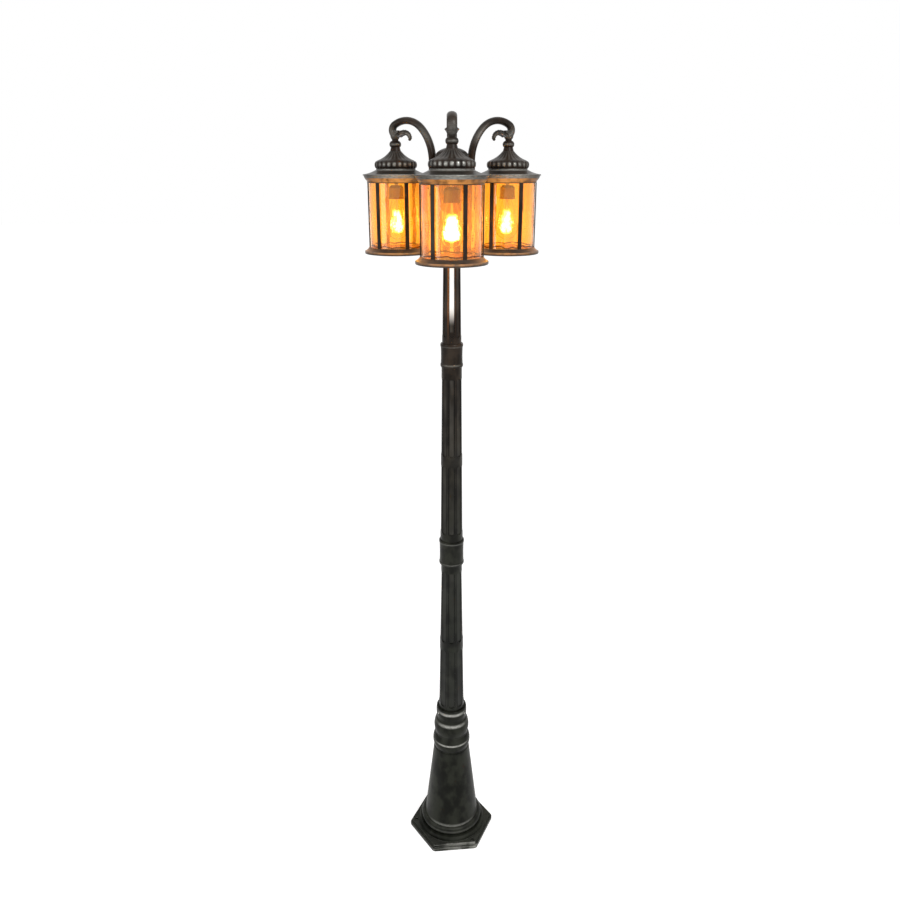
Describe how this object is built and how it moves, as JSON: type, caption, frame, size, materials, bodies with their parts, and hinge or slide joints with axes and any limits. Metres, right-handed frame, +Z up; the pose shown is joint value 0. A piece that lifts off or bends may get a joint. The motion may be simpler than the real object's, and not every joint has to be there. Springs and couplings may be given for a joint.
{
  "type": "garden lamp post",
  "caption": "Garden lamp post: fluted tapered pole on a hexagonal stepped foot, with amber glass cylinder lanterns hung from gooseneck arms.",
  "frame": {"origin": "centre of the anchor bolt circle, on the underside of the foot", "axes": "+Z up along the pole; the front arm points along -Y, the right arm at 30 degrees and the left arm at 150 degrees from +X"},
  "size_m": [0.4632, 0.4245, 2.2167],
  "materials": {
    "bronze_paint": "aged bronze paint, satin, silver dry-brushed on the raised edges",
    "steel": "zinc plated",
    "amber_glass": "amber water glass with vertical ripples",
    "clear_glass": "clear, thin",
    "brass": "satin",
    "porcelain": "glazed",
    "filament": "glowing wire"
  },
  "bodies": {
    "post": {"arm_nuts": "steel", "base_casting": "bronze_paint", "base_collar": "bronze_paint", "collar_screws": "steel", "front_arm": "bronze_paint", "front_cage": "bronze_paint", "front_finial": "bronze_paint", "front_glass": "amber_glass", "front_hanger_tube": "steel", "front_lampholder": "porcelain", "front_leaf": "bronze_paint", "front_roof": "bronze_paint", "front_roof_nut": "steel", "hub_body": "bronze_paint", "hub_bridge": "steel", "hub_cap": "bronze_paint", "hub_finial": "bronze_paint", "hub_screws": "steel", "hub_stud": "steel", "left_arm": "bronze_paint", "left_cage": "bronze_paint", "left_finial": "bronze_paint", "left_glass": "amber_glass", "left_hanger_tube": "steel", "left_lampholder": "porcelain", "left_leaf": "bronze_paint", "left_roof": "bronze_paint", "left_roof_nut": "steel", "lower_coupling": "bronze_paint", "lower_pole": "bronze_paint", "lower_spigot": "steel", "middle_pole": "bronze_paint", "right_arm": "bronze_paint", "right_cage": "bronze_paint", "right_finial": "bronze_paint", "right_glass": "amber_glass", "right_hanger_tube": "steel", "right_lampholder": "porcelain", "right_leaf": "bronze_paint", "right_roof": "bronze_paint", "right_roof_nut": "steel", "upper_coupling": "bronze_paint", "upper_pole": "bronze_paint", "upper_spigot": "steel"},
    "bulb_front": {"front_bulb_cap": "brass", "front_bulb_glass": "clear_glass", "front_filament": "filament"},
    "bulb_right": {"right_bulb_cap": "brass", "right_bulb_glass": "clear_glass", "right_filament": "filament"},
    "bulb_left": {"left_bulb_cap": "brass", "left_bulb_glass": "clear_glass", "left_filament": "filament"}
  },
  "joints": [
    {"name": "front_bulb_unscrew", "type": "slide", "parent": "post", "child": "bulb_front", "axis": [0, 0, -1], "range_m": [0, 0.024]},
    {"name": "right_bulb_unscrew", "type": "slide", "parent": "post", "child": "bulb_right", "axis": [0, 0, -1], "range_m": [0, 0.024]},
    {"name": "left_bulb_unscrew", "type": "slide", "parent": "post", "child": "bulb_left", "axis": [0, 0, -1], "range_m": [0, 0.024]}
  ]
}
